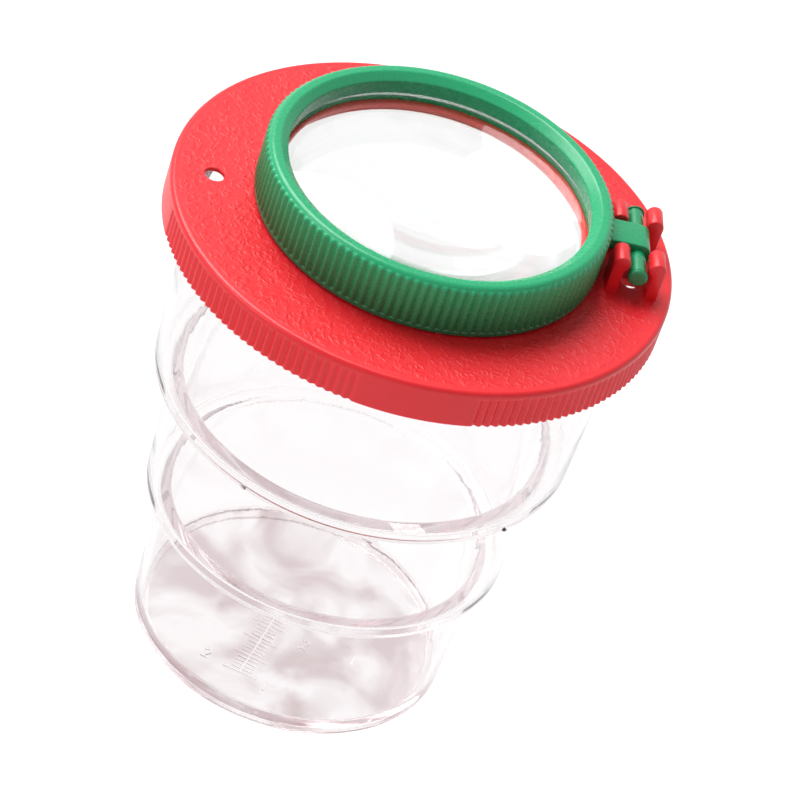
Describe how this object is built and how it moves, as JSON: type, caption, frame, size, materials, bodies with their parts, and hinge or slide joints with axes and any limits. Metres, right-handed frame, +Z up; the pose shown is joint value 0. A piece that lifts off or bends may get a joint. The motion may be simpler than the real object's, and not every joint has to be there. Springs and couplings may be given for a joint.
{
  "type": "bug viewer box",
  "caption": "Clear stepped cup with a push-on lid, a fixed magnifying lens in the lid's window and a second lens in a flip-up ring above it.",
  "frame": {"origin": "centre of the foot ring's underside, the lowest face of the cup", "axes": "+Z up along the cup's axis, +X from the axis towards the lens ring's hinge, +Y along the hinge pin"},
  "size_m": [0.0908, 0.0908, 0.1098],
  "materials": {
    "cup_plastic": "clear moulded polystyrene, gloss, faintly warm",
    "lid_plastic": "red moulded plastic, leather grain on the top face, satin gloss",
    "lens_plastic": "clear acrylic, polished",
    "ring_plastic": "green moulded plastic, smooth gloss"
  },
  "bodies": {
    "cup": {"clear_cup": "cup_plastic"},
    "lid": {"lid": "lid_plastic", "fixed_lens": "lens_plastic"},
    "lens_ring": {"lens_ring": "ring_plastic", "flip_lens": "lens_plastic"}
  },
  "joints": [
    {"name": "lid_lift", "type": "slide", "parent": "cup", "child": "lid", "axis": [0, 0, 1], "range_m": [0, 0.03]},
    {"name": "lens_flip", "type": "hinge", "parent": "lid", "child": "lens_ring", "pos_m": [0.0372, 0, 0.1036], "axis": [0, 1, 0], "range_deg": [0, 165]}
  ]
}
